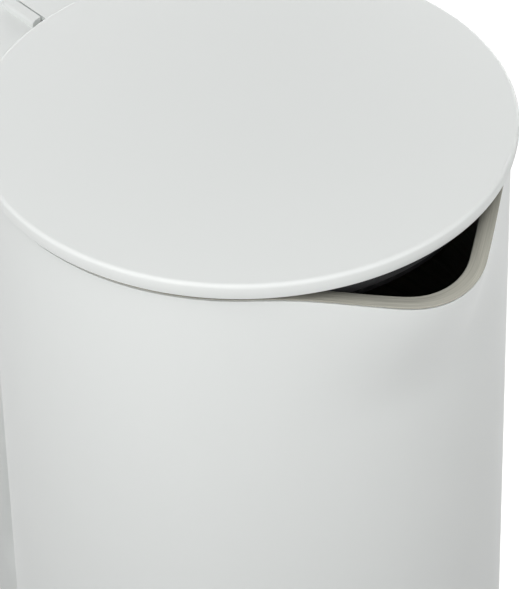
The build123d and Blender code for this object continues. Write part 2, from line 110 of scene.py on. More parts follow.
class KettleLidSizes(bpy.types.PropertyGroup):
    """Flat lid with its hinge tongue."""
    radius: length("Lid radius", "Lower edge of the lid", 66.0 * MM)
    bulge: length("Bulge", "Swelling of the lid's edge", 0.4 * MM)
    edge: length("Edge", "Height of the lid's edge", 4.4 * MM)
    top: length("Top", "Height of the lid's top above the floor", LID_HIGH.z)
    top_sheet: length("Top sheet", "Thickness of the lid's top", 2.0 * MM)
    skirt: length("Skirt", "Thickness of the lid's edge", 2.2 * MM)
    crown: length("Crown", "Round between the top and the edge", 1.1 * MM)
    soft: length("Soft edge", "Round of the lid's lower edges", 0.4 * MM)
    hinge_back: length("Hinge", "Pin behind the kettle's axis", -HINGE_AT.x)
    hinge_height: length("Hinge height", "Height of the pin", HINGE_AT.z)
    knuckle: length("Knuckle", "Radius of the hinge knuckle", 4.4 * MM)
    tongue: length("Tongue", "Width of the hinge tongue", 20.5 * MM)
    bore: length("Bore", "Radius of the bore for the pin", 1.55 * MM)


class KettleHandleSizes(bpy.types.PropertyGroup):
    """Loop handle."""
    drop: length("Handle drop", "Top of the upper arm below the lid's top", 2.2 * MM)
    low: length("Handle foot", "Height of the lower arm's underside", HANDLE_LOW.z)
    back: length("Handle back", "Back of the grip behind the axis", -HANDLE_LOW.x)
    width: length("Grip width", "Width of the grip", 26.0 * MM)
    depth: length("Grip depth", "Depth of the grip from front to back", 24.0 * MM)
    rounding: length("Grip round", "Round of the grip's edges", 9.0 * MM)
    bend: length("Bend", "Bends of the handle's middle line", 24.0 * MM)
    collar: length("Collar width", "Width of the upper arm at the body", 64.0 * MM)
    seat: length("Seat width", "Width of the lower arm at the body", 40.0 * MM)
    root_round: length("Root round", "Round of the arms' edges at the body", 5.0 * MM)
    sink: length("Sink", "Start of the arms inside the shell, before they are cut to it", 14.5 * MM)
    lid_gap: length("Lid gap", "Clear round for the lid's edge", 67.0 * MM)
    swing_gap: length("Swing gap", "Clear round for the lid's edge at the cheeks", 67.7 * MM)
    cheek: length("Cheek", "Thickness of the raised cheeks beside the lid's tongue", 3.0 * MM)
    cheek_gap: length("Cheek gap", "Gap between the cheeks and the tongue", 0.5 * MM)
    cheek_round: length("Cheek round", "Round of the cheeks' upper edges", 1.0 * MM)
    slot_gap: length("Slot gap", "Gap behind and below the tongue, and round the paddle", 0.8 * MM)


class KettleBaseSizes(bpy.types.PropertyGroup):
    """Top of the power base."""
    wall: length("Base wall", "Thickness of the base's top and side", 2.2 * MM)
    post_gap: length("Post gap", "Gap round the connector post", 0.3 * MM)
    shoulder: length("Shoulder", "Round between the base's top and side", 3.0 * MM)
    soft: length("Base soft edge", "Round of the base's other edges", 0.5 * MM)


class KettleScrewSizes(bpy.types.PropertyGroup):
    """Cross-head screws."""
    head: length("Head", "Radius of the head", 3.0 * MM)
    head_height: length("Head height", "Height of the head", 1.6 * MM)
    shank: length("Shank", "Radius of the shank", 1.5 * MM)
    recess: length("Recess", "Width of the cross recess", 0.9 * MM)
    recess_depth: length("Recess depth", "Depth of the cross recess", 0.9 * MM)
    start: turn("Start", "Place of the first screw on its circle", 60)


class KettleFinishes(bpy.types.PropertyGroup):
    """Colours of the materials."""
    white: colour("White", "Satin white mouldings", (0.765, 0.785, 0.772))
    black: colour("Black", "Matt black mouldings", (0.008, 0.008, 0.0085))
    steel: colour("Steel", "Brushed steel of the vessel", (0.385, 0.380, 0.337))
    aluminium: colour("Aluminium", "Heater plate", (0.70, 0.70, 0.71))
    element: colour("Element", "Heat-darkened tube of the heating element", (0.30, 0.285, 0.27))
    bimetal: colour("Bimetal", "Snap discs", (0.52, 0.47, 0.39))
    brass: colour("Brass", "Contacts", (0.70, 0.55, 0.27))
    zinc: colour("Zinc", "Plated screws", (0.66, 0.66, 0.68))
    pin: colour("Pin", "Ground steel pins", (0.72, 0.72, 0.73))
    rubber: colour("Rubber", "Seal, foot and gland", (0.030, 0.030, 0.032))
    lens: colour("Lens", "Amber indicator", (0.75, 0.30, 0.09))


class KettleStageSettings(bpy.types.PropertyGroup):
    """Studio floor, lights and camera."""
    floor: colour("Floor", "Pale studio floor under the lamps", (0.50, 0.50, 0.50))
    floor_glow: colour("Floor glow", "White that the floor shows besides, when it is seen", (0.88, 0.88, 0.88))
    overhead: watts("Overhead", "Large soft light above and before the lid", 4.32)
    left: watts("Left", "Soft light beside the lid, left", 0.151)
    front_left: watts("Front left", "Soft light before the lid, left", 0.244)
    front_right: watts("Front right", "Soft light before the lid, right", 0.252)
    right: watts("Right", "Soft light beside the lid, right", 0.123)
    back_left: watts("Back left", "Soft light behind the kettle, left", 0.450)
    back_right: watts("Back right", "Soft light behind the kettle, right", 0.600)
    ambient: FloatProperty(name="Ambient", description="Strength of the studio's soft light", default=0.15)
    camera_turn: turn("Camera turn", "Camera round the kettle's axis", 50)
    camera_rise: turn("Camera rise", "Camera above the horizon", 36.51)
    camera_away: length("Camera distance", "Camera from the lid", 948.4 * MM)
    camera_yaw: turn("Camera yaw", "Aim off the lid, sideways", -0.126)
    camera_pitch: turn("Camera pitch", "Aim off the lid, up and down", -2.441)
    camera_roll: turn("Camera roll", "Tilt of the picture", 1.490)
    lens: FloatProperty(name="Lens", description="Focal length in millimetres", default=237.5)


# Nodes and finishes

class Wire:
    """A node's output that takes part in Python expressions. Each operator adds a Math node."""

    def __init__(self, tree, socket=None):
        self.tree = tree
        self.socket = socket

    def node(self, kind, settings=None, sockets=None, out=0):
        """Adds a node, sets it up, feeds its sockets with values, wires or lists of wires, and gives an output."""
        made = self.tree.nodes.new(kind)
        for name, value in (settings or {}).items():
            if name == "items":
                while len(made.index_switch_items) < value:
                    made.index_switch_items.new()
            else:
                setattr(made, name, value)
        for name, value in (sockets or {}).items():
            for part in value if isinstance(value, list) else [value]:
                if isinstance(part, Wire):
                    self.tree.links.new(part.socket, made.inputs[name])
                else:
                    made.inputs[name].default_value = part
        return Wire(self.tree, made.outputs[out]) if len(made.outputs) else None

    def maths(self, operation, first, second=0.0):
        return self.node("ShaderNodeMath", {"operation": operation}, {0: first, 1: second})

    def __add__(self, other):
        return self.maths("ADD", self, other)

    __radd__ = __add__

    def __sub__(self, other):
        return self.maths("SUBTRACT", self, other)

    def __rsub__(self, other):
        return self.maths("SUBTRACT", other, self)

    def __mul__(self, other):
        return self.maths("MULTIPLY", self, other)

    __rmul__ = __mul__

    def __truediv__(self, other):
        return self.maths("DIVIDE", self, other)

    def __rtruediv__(self, other):
        return self.maths("DIVIDE", other, self)


def new_material(name):
    material = bpy.data.materials.new(name)
    material.use_nodes = True
    material.node_tree.nodes.clear()
    return material, Wire(material.node_tree)


def finish_surface(net, sockets):
    shader = net.node("ShaderNodeBsdfPrincipled", None, sockets)
    net.node("ShaderNodeOutputMaterial", None, {"Surface": shader})


def rgba(shade, level=1.0):
    return tuple(part * level for part in shade) + (1.0,)


def object_place(net):
    return net.node("ShaderNodeTexCoord", out="Object")


def noise(net, place, scale=1.0, detail=2.0, roughness=0.5):
    return net.node("ShaderNodeTexNoise", None,
                    {"Vector": place, "Scale": scale, "Detail": detail, "Roughness": roughness}, "Fac")


def stretched(net, place, scale):
    return net.node("ShaderNodeVectorMath", {"operation": "MULTIPLY"}, {0: place, 1: scale})


def blend(net, factor, first, second):
    return net.node("ShaderNodeMix", {"data_type": "RGBA"}, {0: factor, 6: first, 7: second}, 2)


def bump(net, height, strength, distance):
    return net.node("ShaderNodeBump", None, {"Height": height, "Strength": strength, "Distance": distance}, "Normal")


def moulded(name, shade, rough, depth, mottle, specular):
    """Moulded plastic: fine spark grain and slow changes of tone and gloss."""
    material, net = new_material(name)
    place = object_place(net)
    tone = noise(net, place, scale=22.0, detail=3.0)
    gloss = noise(net, place, scale=70.0, detail=3.0)
    grain = noise(net, place, scale=2400.0, detail=3.0, roughness=0.65)
    finish_surface(net, {
        "Base Color": blend(net, tone, rgba(shade, 1 - mottle), rgba(shade)),
        "Roughness": rough + 0.1 * (gloss - 0.5),
        "Normal": bump(net, grain, strength=0.2, distance=depth),
        "Specular IOR Level": specular,
    })
    return material


# Changes of the brush lines in a metre: along the rim and across it
FINE_LINES = (60.0, 2600.0, 0.0)
BROAD_LINES = (25.0, 700.0, 0.0)


def brushed_along(name, shade):
    """Brushed sheet: fine lines that follow the rim, with soft stains."""
    material, net = new_material(name)
    chart = net.node("ShaderNodeUVMap", {"uv_map": RIM_CHART})
    fine = noise(net, stretched(net, chart, FINE_LINES), detail=3.0, roughness=0.6)
    broad = noise(net, stretched(net, chart, BROAD_LINES))
    stain = noise(net, object_place(net), scale=60.0, detail=3.0)
    streak = 1.4 * fine + 0.8 * broad - 0.6
    tint = blend(net, streak, rgba(shade, 0.50), rgba(shade, 1.30))
    finish_surface(net, {
        "Base Color": blend(net, 0.5 * stain, tint, rgba(shade)),
        "Metallic": 1.0,
        "Roughness": 0.80 + 0.12 * (streak - 0.5),
        "Normal": bump(net, streak, strength=0.25, distance=0.03 * MM),
    })
    return material


def bare_metal(name, shade, rough, lines):
    """Drawn, rolled or turned metal: lines along one direction and a little tarnish."""
    material, net = new_material(name)
    place = object_place(net)
    drawn = noise(net, stretched(net, place, lines), detail=3.0, roughness=0.6)
    tarnish = noise(net, place, scale=120.0, detail=3.0)
    finish_surface(net, {
        "Base Color": blend(net, tarnish, rgba(shade, 0.82), rgba(shade)),
        "Metallic": 1.0,
        "Roughness": rough + 0.14 * (drawn - 0.5),
        "Normal": bump(net, drawn, strength=0.2, distance=0.02 * MM),
    })
    return material


def soft_rubber(name, shade):
    """Matt rubber with a little dust."""
    material, net = new_material(name)
    place = object_place(net)
    dust = noise(net, place, scale=260.0, detail=4.0)
    grain = noise(net, place, scale=1800.0)
    finish_surface(net, {
        "Base Color": blend(net, dust, rgba(shade, 0.8), rgba(shade, 1.4)),
        "Roughness": 0.72 + 0.14 * (dust - 0.5),
        "Normal": bump(net, grain, strength=0.3, distance=0.03 * MM),
        "Specular IOR Level": 0.35,
    })
    return material


def amber_lens(name, shade):
    """Light guide: amber plastic with a slightly cloudy middle and a clear coat."""
    material, net = new_material(name)
    cloud = noise(net, object_place(net), scale=500.0)
    finish_surface(net, {
        "Base Color": blend(net, cloud, rgba(shade, 0.75), rgba(shade)),
        "Roughness": 0.16 + 0.06 * cloud,
        "Coat Weight": 0.4,
    })
    return material


# Maker of each slot's finish, its colour among the finishes, and its other settings
FINISH_MAKERS = {
    "white_shell": (moulded, "white", {"rough": 0.50, "depth": 0.03 * MM, "mottle": 0.02, "specular": 0.4}),
    "black_plastic": (moulded, "black", {"rough": 0.65, "depth": 0.05 * MM, "mottle": 0.25, "specular": 0.15}),
    "vessel_steel": (brushed_along, "steel", {}),
    "heater_metal": (bare_metal, "aluminium", {"rough": 0.38, "lines": (60.0, 2500.0, 60.0)}),
    "element_steel": (bare_metal, "element", {"rough": 0.45, "lines": (900.0, 900.0, 300.0)}),
    "bimetal": (bare_metal, "bimetal", {"rough": 0.34, "lines": (2500.0, 80.0, 80.0)}),
    "contact_brass": (bare_metal, "brass", {"rough": 0.30, "lines": (120.0, 120.0, 3000.0)}),
    "screw_steel": (bare_metal, "zinc", {"rough": 0.30, "lines": (1200.0, 1200.0, 1200.0)}),
    "pin_steel": (bare_metal, "pin", {"rough": 0.22, "lines": (1800.0, 120.0, 1800.0)}),
    "rubber": (soft_rubber, "rubber", {}),
    "lens": (amber_lens, "lens", {}),
}


def finish_of(slot):
    """Material of one of the record's slots, made when it is first needed."""
    name = "finish_" + slot
    made = bpy.data.materials.get(name)
    if made is None:
        maker, shade, settings = FINISH_MAKERS[slot]
        made = maker(name, getattr(bpy.context.scene.kettle_finishes, shade), **settings)
    return made


# Mesh building

def new_object(name, mesh):
    made = bpy.data.objects.new(name, mesh)
    bpy.context.scene.collection.objects.link(made)
    return made


def weld(mesh, outward=True):
    """Closes seams and poles, and turns the faces outwards."""
    work = bmesh.new()
    work.from_mesh(mesh)
    bmesh.ops.remove_doubles(work, verts=work.verts, dist=WELD)
    if outward:
        bmesh.ops.recalc_face_normals(work, faces=work.faces)
    work.to_mesh(mesh)
    work.free()


def skin(name, columns, charts=None):
    """Closed mesh over columns of points. Charts are the same points on a flat map, for finishes that follow it."""
    tall = len(columns[0])
    points = [point for column in columns for point in column]
    faces = []
    for c in range(len(columns) - 1):
        for r in range(tall - 1):
            faces.append((c * tall + r, (c + 1) * tall + r, (c + 1) * tall + r + 1, c * tall + r + 1))
    mesh = bpy.data.meshes.new(name)
    mesh.from_pydata(points, [], faces)
    if charts:
        flat = [place for column in charts for place in column]
        layer = mesh.uv_layers.new(name=RIM_CHART)
        for loop in mesh.loops:
            layer.data[loop.index].uv = flat[loop.vertex_index]
    weld(mesh)
    return new_object(name, mesh)


def soften(corners, arc):
    """Outline through corners of (x, z, round), with an arc of so many steps for each round."""
    out = []
    for i, (x, z, radius) in enumerate(corners):
        here = Vector((x, z))
        if not radius:
            out.append((x, z))
            continue
        before = (Vector(corners[i - 1][:2]) - here).normalized()
        after = (Vector(corners[(i + 1) % len(corners)][:2]) - here).normalized()
        half = before.angle(after) / 2
        centre = here + (before + after).normalized() * (radius / math.sin(half))
        start = here + before * (radius / math.tan(half)) - centre
        end = here + after * (radius / math.tan(half)) - centre
        sweep = math.pi - 2 * half
        for step in range(arc + 1):
            share = step / arc
            spoke = start * math.sin((1 - share) * sweep) + end * math.sin(share * sweep)
            out.append(tuple(centre + spoke / math.sin(sweep)))
    return out


def slab(name, outline, x0, x1):
    """Cutter with an outline of (y, z) between two places along X."""
    count = len(outline)
    points = [(x, y, z) for x in (x0, x1) for y, z in outline]
    faces = [tuple(range(count)), tuple(range(2 * count - 1, count - 1, -1))]
    faces += [(i, i + count, (i + 1) % count + count, (i + 1) % count) for i in range(count)]
    mesh = bpy.data.meshes.new(name)
    mesh.from_pydata(points, [], faces)
    weld(mesh)
    return new_object(name, mesh)


def rod(name, radius, start, end, steps=64):
    """Round cutter from one point to another."""
    start, end = Vector(start), Vector(end)
    work = bmesh.new()
    bmesh.ops.create_cone(work, cap_ends=True, segments=steps, radius1=radius, radius2=radius,
                          depth=(end - start).length)
    turned_to = (end - start).to_track_quat("Z", "Y").to_matrix().to_4x4()
    bmesh.ops.transform(work, matrix=Matrix.Translation((start + end) / 2) @ turned_to, verts=work.verts)
    mesh = bpy.data.meshes.new(name)
    work.to_mesh(mesh)
    work.free()
    return new_object(name, mesh)


def cheek_block(name, front, back, half, low, high, corner, soft):
    """Block with round corners behind and a soft upper edge."""
    steps = 6
    rings = [(0.0, low)]
    for step in range(steps + 1):
        angle = math.pi / 2 * step / steps
        rings.append((soft * (1 - math.cos(angle)), high - soft * (1 - math.sin(angle))))
    columns = []
    for inset, z in rings:
        wide, round_back = half - inset, corner - inset
        plan = soften([(front, wide, 0), (back + inset, wide, round_back), (back + inset, -wide, round_back),
                       (front, -wide, 0)], arc=10)
        columns.append([(x, y, z) for x, y in plan + plan[:1]])
    ends = [[((front + back) / 2, 0.0, z)] * len(columns[0]) for z in (low, high)]
    return skin(name, [ends[0]] + columns + [ends[1]])


def plain(piece):
    """Puts the result of a piece's modifiers into its mesh."""
    graph = bpy.context.evaluated_depsgraph_get()
    result = bpy.data.meshes.new_from_object(piece.evaluated_get(graph))
    piece.modifiers.clear()
    piece.data = result


def carve(piece, tools, operation="DIFFERENCE"):
    """Cuts tools out of a piece, or joins them to it."""
    for tool in tools:
        step = piece.modifiers.new(tool.name, "BOOLEAN")
        step.solver = "EXACT"
        step.operation = operation
        step.object = tool
    plain(piece)
    for tool in tools:
        bpy.data.objects.remove(tool)


def settle(piece, body, slot, nodes, sharp=32.0):
    """Smooths a piece, gives it its finish, and sets it in the place of its CAD nodes."""
    mesh = piece.data
    mesh.polygons.foreach_set("use_smooth", [True] * len(mesh.polygons))
    mesh.set_sharp_from_angle(angle=math.radians(sharp))
    mesh.materials.clear()
    mesh.materials.append(finish_of(slot))
    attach(piece, body)
    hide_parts(*nodes)


def body_of(node):
    return next(body for body, nodes in frame["record"]["behaviour"]["bodies"].items() if node in nodes)


def slot_of(node):
    return next(row["material_slot"] for row in frame["record"]["subparts"] if row["node"] == node)


# Form of the body

class BodyForm:
    """Round body whose front swells into a beak, with a rim that dips at the spout."""

    def __init__(self, sizes):
        self.s = sizes
        self.nose_x = sizes.radius + sizes.beak_reach - sizes.nose
        self.flank = math.acos((sizes.radius - sizes.nose) / self.nose_x)
        self.fade_z = sizes.rim - sizes.fade

    def beak(self, angle, inset):
        """Radius at the top: round nose, straight flanks and round body."""
        nose = self.s.nose - inset
        seam = math.atan2(nose * math.sin(self.flank), self.nose_x + nose * math.cos(self.flank))
        if abs(angle) < seam:
            return self.nose_x * math.cos(angle) + math.sqrt(nose**2 - (self.nose_x * math.sin(angle))**2)
        if abs(angle) < self.flank:
            return (self.s.radius - inset) / math.cos(self.flank - abs(angle))
        return self.s.radius - inset

    def radius(self, angle, inset, z):
        """Radius at a height, as the beak fades into the round."""
        share = min(max((z - self.fade_z) / self.s.fade, 0.0), 1.0)
        swell = share**2 * (3 - 2 * share)
        plain_radius = self.s.radius - inset
        return plain_radius + swell * (self.beak(angle, inset) - plain_radius)

    def point(self, angle, inset, z):
        reach = self.radius(angle, inset, z)
        return (reach * math.cos(angle), reach * math.sin(angle), z)

    def rim(self, angle, inset):
        """Height of the rim line, which runs level along the spout's direction."""
        z = self.s.rim
        if math.cos(angle) <= 0:
            return z
        for _ in range(5):
            across = abs(self.radius(angle, inset, z) * math.sin(angle))
            if across >= self.s.dip_half:
                return self.s.rim
            z = self.s.rim - self.s.dip * (0.5 + 0.5 * math.cos(math.pi * across / self.s.dip_half))
        return z

    def levels(self, low, top, count):
        """Heights up a wall: the straight part in a few steps, the beak in many."""
        straight = [low + (self.fade_z - low) * step / 3 for step in range(3)]
        return straight + [self.fade_z + (top - self.fade_z) * step / count for step in range(count + 1)]


WALL_STEPS = 28
ROUND_STEPS = 320


def round_angles():
    """Angles of the columns, from the handle round past the spout."""
    return [-math.pi + math.tau * step / ROUND_STEPS for step in range(ROUND_STEPS + 1)]


def shell_columns(form):
    """Columns up the outside of the shell, over the shadow line under the lip, and down the inside."""
    s = form.s
    soft = 0.35 * MM
    columns = []
    for angle in round_angles():
        outer_top = form.rim(angle, 0) - s.lip
        inner_top = form.rim(angle, s.wall) - s.lip
        path = [(0.0, z) for z in form.levels(s.foot + soft, outer_top - soft, WALL_STEPS)]
        path += [(0.1 * soft, outer_top - 0.9 * soft), (2 * soft, outer_top - 0.8 * soft), (3 * soft, outer_top)]
        path += [(s.wall - soft, inner_top)]
        path += [(s.wall, z) for z in reversed(form.levels(s.foot + soft, inner_top - soft, WALL_STEPS))]
        path += [(s.wall - soft, s.foot), (soft, s.foot)]
        path.append(path[0])
        columns.append([form.point(angle, inset, z) for inset, z in path])
    return columns


def arc_points(centre, radius, start, end, steps):
    """Arc of flat points about a centre, from one angle to another in degrees."""
    out = []
    for step in range(steps + 1):
        angle = math.radians(start + (end - start) * step / steps)
        out.append((centre[0] + radius * math.cos(angle), centre[1] + radius * math.sin(angle)))
    return out


def lip_path(s):
    """Section of the lip as (inset, height over the rim), from the inner wall over the edge to the outer wall."""
    soft = 0.4 * MM
    nose = 0.18 * MM
    tuck = 0.6 * MM
    steps, bow = 10, 2.5
    fall = s.lip - 2 * nose
    path = [(s.vessel_in, -2.0 * s.lip)]
    path += arc_points((s.vessel_in - soft, -soft), soft, 0, 90, 5)
    start = path[-1][0]
    path += [(start + (nose - start) * step / steps, -fall * (step / steps)**bow) for step in range(1, steps)]
    path += arc_points((nose, -s.lip + nose), nose, 112, 270, 8)
    path += arc_points((s.vessel_out - tuck, -s.lip - tuck), tuck, 90, 0, 4)
    return path


def pot_path(form, inset, floor, top):
    """One face of the pot as (inset, height): from the middle of the floor round the corner and up the wall."""
    s = form.s
    corner = 4 * MM
    path = [(s.radius - share * (s.radius - inset - corner), floor) for share in (0, 0.25, 0.5, 0.75)]
    path += arc_points((inset + corner, floor + corner), corner, 270, 180, 6)
    return path + [(inset, z) for z in form.levels(floor + corner, top, WALL_STEPS)[1:-1]]


def vessel_columns(form):
    """Columns up the inside of the vessel, over the lip and down the outside, and their charts.

    A chart gives each point's way round the rim and its way from the lip's inner edge.
    """
    s = form.s
    lip = lip_path(s)
    columns, charts = [], []
    for angle in round_angles():
        inside_top = form.rim(angle, s.vessel_in) + lip[0][1]
        outside_top = form.rim(angle, s.vessel_out) + lip[-1][1]
        path = pot_path(form, s.vessel_in, s.vessel_low + s.floor_sheet, inside_top)
        lip_start = len(path)
        path += [(inset, form.rim(angle, inset) + rise) for inset, rise in lip]
        path += reversed(pot_path(form, s.vessel_out, s.vessel_low, outside_top))
        column = [form.point(angle, inset, z) for inset, z in path]
        runs = [0.0]
        for last, here in zip(column, column[1:]):
            runs.append(runs[-1] + (Vector(here) - Vector(last)).length)
        columns.append(column)
        charts.append([(angle * s.radius, run - runs[lip_start]) for run in runs])
    return columns, charts


# Form of the handle

def round_bar(width, depth, rounding, steps=8):
    """Rounded rectangle as (across, outward) points."""
    out = []
    for quarter, (x, z) in enumerate(((1, 1), (-1, 1), (-1, -1), (1, -1))):
        centre = (x * (width / 2 - rounding), z * (depth / 2 - rounding))
        out += arc_points(centre, rounding, 90 * quarter, 90 * quarter + 90, steps)
    return out


ARM_STATIONS = 56


def arm_columns(s, body_radius, middle, root_width, side):
    """Sections of an arm, from its wide seat on the body through the bend to the grip."""
    root = body_radius - s.sink
    straight = s.back - s.depth / 2 - s.bend - root
    whole = straight + s.bend * math.pi / 2
    columns = []
    for station in range(ARM_STATIONS + 1):
        share = station / ARM_STATIONS
        slim = share**2 * (3 - 2 * share)
        angle = max(share * whole - straight, 0.0) / s.bend
        point = Vector((-root - min(share * whole, straight) - s.bend * math.sin(angle), 0,
                        middle - side * s.bend * (1 - math.cos(angle))))
        out = Vector((-math.sin(angle), 0, side * math.cos(angle)))
        width = root_width + slim * (s.width - root_width)
        soft = s.root_round + slim * (s.rounding - s.root_round)
        loop = [point + Vector((0, across, 0)) + out * rise for across, rise in round_bar(width, s.depth, soft)]
        columns.append([tuple(p) for p in loop + loop[:1]])
    return columns


def handle_columns(s, body_radius, top):
    """Sections of the whole loop, closed at both seats."""
    upper = arm_columns(s, body_radius, top - s.depth / 2, s.collar, 1)
    lower = arm_columns(s, body_radius, s.low + s.depth / 2, s.seat, -1)
    columns = upper + lower[::-1]
    ends = []
    for column in (columns[0], columns[-1]):
        middle = sum((Vector(p) for p in column[:-1]), Vector()) / (len(column) - 1)
        ends.append([tuple(middle)] * len(column))
    return [ends[0]] + columns + [ends[1]]


def hinge_room(s, lid):
    """Back, half width and floor of the slot for the lid's tongue."""
    knuckle = lid.knuckle + s.slot_gap
    return -lid.hinge_back - knuckle, lid.tongue / 2 + s.cheek_gap, lid.hinge_height - knuckle


def hinge_cheeks(s, lid, top):
    """Raised block round the slot, cut free of the lid's swing."""
    back, half, _ = hinge_room(s, lid)
    cheeks = cheek_block("cheeks", -lid.radius, back, half + s.cheek, top - s.depth / 2,
                         lid.hinge_height + lid.knuckle, s.cheek, s.cheek_round)
    carve(cheeks, [rod("swing_cut", s.swing_gap, (0, 0, 0), (0, 0, 2 * lid.top), TURN_STEPS)])
    return cheeks


def seat_cuts(s, body, lid, top):
    """Cutters for the body, the lid's edge and the lid's tongue."""
    back, half, low = hinge_room(s, lid)
    outline = [(-half, low), (half, low), (half, 2 * top), (-half, 2 * top)]
    return [
        rod("body_cut", body.radius + FIT, (0, 0, 0), (0, 0, 2 * lid.top), TURN_STEPS),
        rod("lid_cut", s.lid_gap, (0, 0, body.rim), (0, 0, 2 * lid.top), TURN_STEPS),
        slab("hinge_cut", outline, back, 0),
    ]


def fitting_cuts(s, bore, screws):
    """Cutters for the paddle, the grip cover, the lens, the pins and the grip's screws."""
    low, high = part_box("switch_paddle")
    side, roof = high.y + s.slot_gap, high.z + 2 * s.slot_gap
    outline = [(-side, 0), (side, 0), (side, roof), (-side, roof)]
    tools = [slab("switch_cut", outline, low.x, high.x + 2 * s.slot_gap)]

    low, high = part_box("grip_cover")
    wide, foot, head = high.y + FIT, low.z - FIT, high.z + FIT
    corners = [(y, z, wide - 2 * FIT) for y, z in ((-wide, foot), (wide, foot), (wide, head), (-wide, head))]
    tools.append(slab("cover_cut", soften(corners, arc=12), low.x - FIT, high.x + REACH))

    low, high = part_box("indicator_lens")
    middle = (low.z + high.z) / 2
    tools.append(rod("lens_bore", high.y + FIT, (low.x - REACH, 0, middle), (high.x + FIT, 0, middle)))

    for node in ("hinge_pin", "switch_pin"):
        low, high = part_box(node)
        at = (low + high) / 2
        tools.append(rod(node + "_bore", bore, (at.x, low.y - FIT, at.z), (at.x, REACH, at.z), steps=32))

    low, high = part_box("grip_screws")
    for z in (low.z + screws.head, high.z - screws.head):
        start, end = (low.x - FIT, 0, z), (high.x + REACH, 0, z)
        tools.append(rod("screw_bore", screws.shank + FIT, start, end, steps=24))
    return tools


# Geometry trees

def new_tree(name, lengths, others):
    """Geometry tree with named inputs, as a place for nodes and a wire for each input."""
    tree = bpy.data.node_groups.new(name, "GeometryNodeTree")
    inputs = dict.fromkeys(lengths, "NodeSocketFloat") | others | {"Finish": "NodeSocketMaterial"}
    for label, kind in inputs.items():
        tree.interface.new_socket(label, in_out="INPUT", socket_type=kind)
    tree.interface.new_socket("Geometry", in_out="OUTPUT", socket_type="NodeSocketGeometry")
    given = tree.nodes.new("NodeGroupInput")
    return Wire(tree), {label: Wire(tree, given.outputs[label]) for label in inputs}


def end_tree(net, shape, finish):
    real = net.node("GeometryNodeRealizeInstances", None, {"Geometry": shape})
    dressed = net.node("GeometryNodeSetMaterial", None, {"Geometry": real, "Material": finish})
    net.node("NodeGroupOutput", None, {"Geometry": dressed})


def grown(name, net, values):
    """Plain mesh of a geometry tree with these values at its inputs."""
    piece = new_object(name, bpy.data.meshes.new(name))
    nodes = piece.modifiers.new(name, "NODES")
    nodes.node_group = net.tree
    for item in net.tree.interface.items_tree:
        if item.in_out == "INPUT":
            nodes[item.identifier] = values[item.name]
    plain(piece)
    return piece


def by_index(net, kind, values):
    """Takes the value of the same number as the point."""
    sockets = {str(number): value for number, value in enumerate(values)}
    sockets["Index"] = net.node("GeometryNodeInputIndex")
    return net.node("GeometryNodeIndexSwitch", {"data_type": kind, "items": len(values)}, sockets)


def turned_tree(name, labels, corners):
    """Outline with round corners, turned round the kettle's axis. Corners are (radius, height, round)."""
    net, size = new_tree(name, labels, {"Steps": "NodeSocketInt", "Arc Steps": "NodeSocketInt"})
    outline = corners(size)
    ring = size["Radius"]
    spots = [net.node("ShaderNodeCombineXYZ", None, {"X": r - ring, "Y": 0.0 - z}) for r, z, _ in outline]
    points = net.node("GeometryNodePoints", None, {"Count": len(outline), "Position": by_index(net, "VECTOR", spots)})
    line = net.node("GeometryNodePointsToCurves", None, {"Points": points})
    loop = net.node("GeometryNodeSetSplineCyclic", None, {"Geometry": line, "Cyclic": True})
    soft = net.node("GeometryNodeFilletCurve", {"mode": "POLY"}, {
        "Curve": loop, "Radius": by_index(net, "FLOAT", [part[2] for part in outline]), "Count": size["Arc Steps"]})
    circle = net.node("GeometryNodeCurvePrimitiveCircle", None, {"Resolution": size["Steps"], "Radius": ring})
    upright = net.node("GeometryNodeSetCurveNormal", {"mode": "Z_UP"}, {"Curve": circle})
    end_tree(net, net.node("GeometryNodeCurveToMesh", None, {"Curve": upright, "Profile Curve": soft}), size["Finish"])
    return net


LID_LABELS = ("Radius", "Bulge", "Edge", "Top", "Top Sheet", "Skirt", "Crown", "Soft")


def lid_corners(size):
    low = size["Top"] - size["Edge"]
    under = size["Top"] - size["Top Sheet"]
    inside = size["Radius"] - size["Skirt"]
    wide = size["Radius"] + size["Bulge"]
    widest = low + 0.45 * size["Edge"]
    return [
        (0.0, size["Top"], 0.0), (wide, size["Top"], size["Crown"]), (wide, widest, 0.0),
        (size["Radius"], low, size["Soft"]), (inside, low, size["Soft"]), (inside, under, 0.0), (0.0, under, 0.0),
    ]


BASE_LABELS = ("Radius", "Top", "Foot", "Wall", "Hole", "Shoulder", "Soft")


def base_corners(size):
    inside = size["Radius"] - size["Wall"]
    under = size["Top"] - size["Wall"]
    return [
        (size["Radius"], size["Foot"], size["Soft"]), (size["Radius"], size["Top"], size["Shoulder"]),
        (size["Hole"], size["Top"], size["Soft"]), (size["Hole"], under, 0.0), (inside, under, 0.0),
        (inside, size["Foot"], 0.8 * size["Soft"]),
    ]


SCREW_LABELS = ("Circle Radius", "Start Angle", "Head Radius", "Head Height", "Shank Radius", "Length", "Recess Width",
                "Recess Depth")


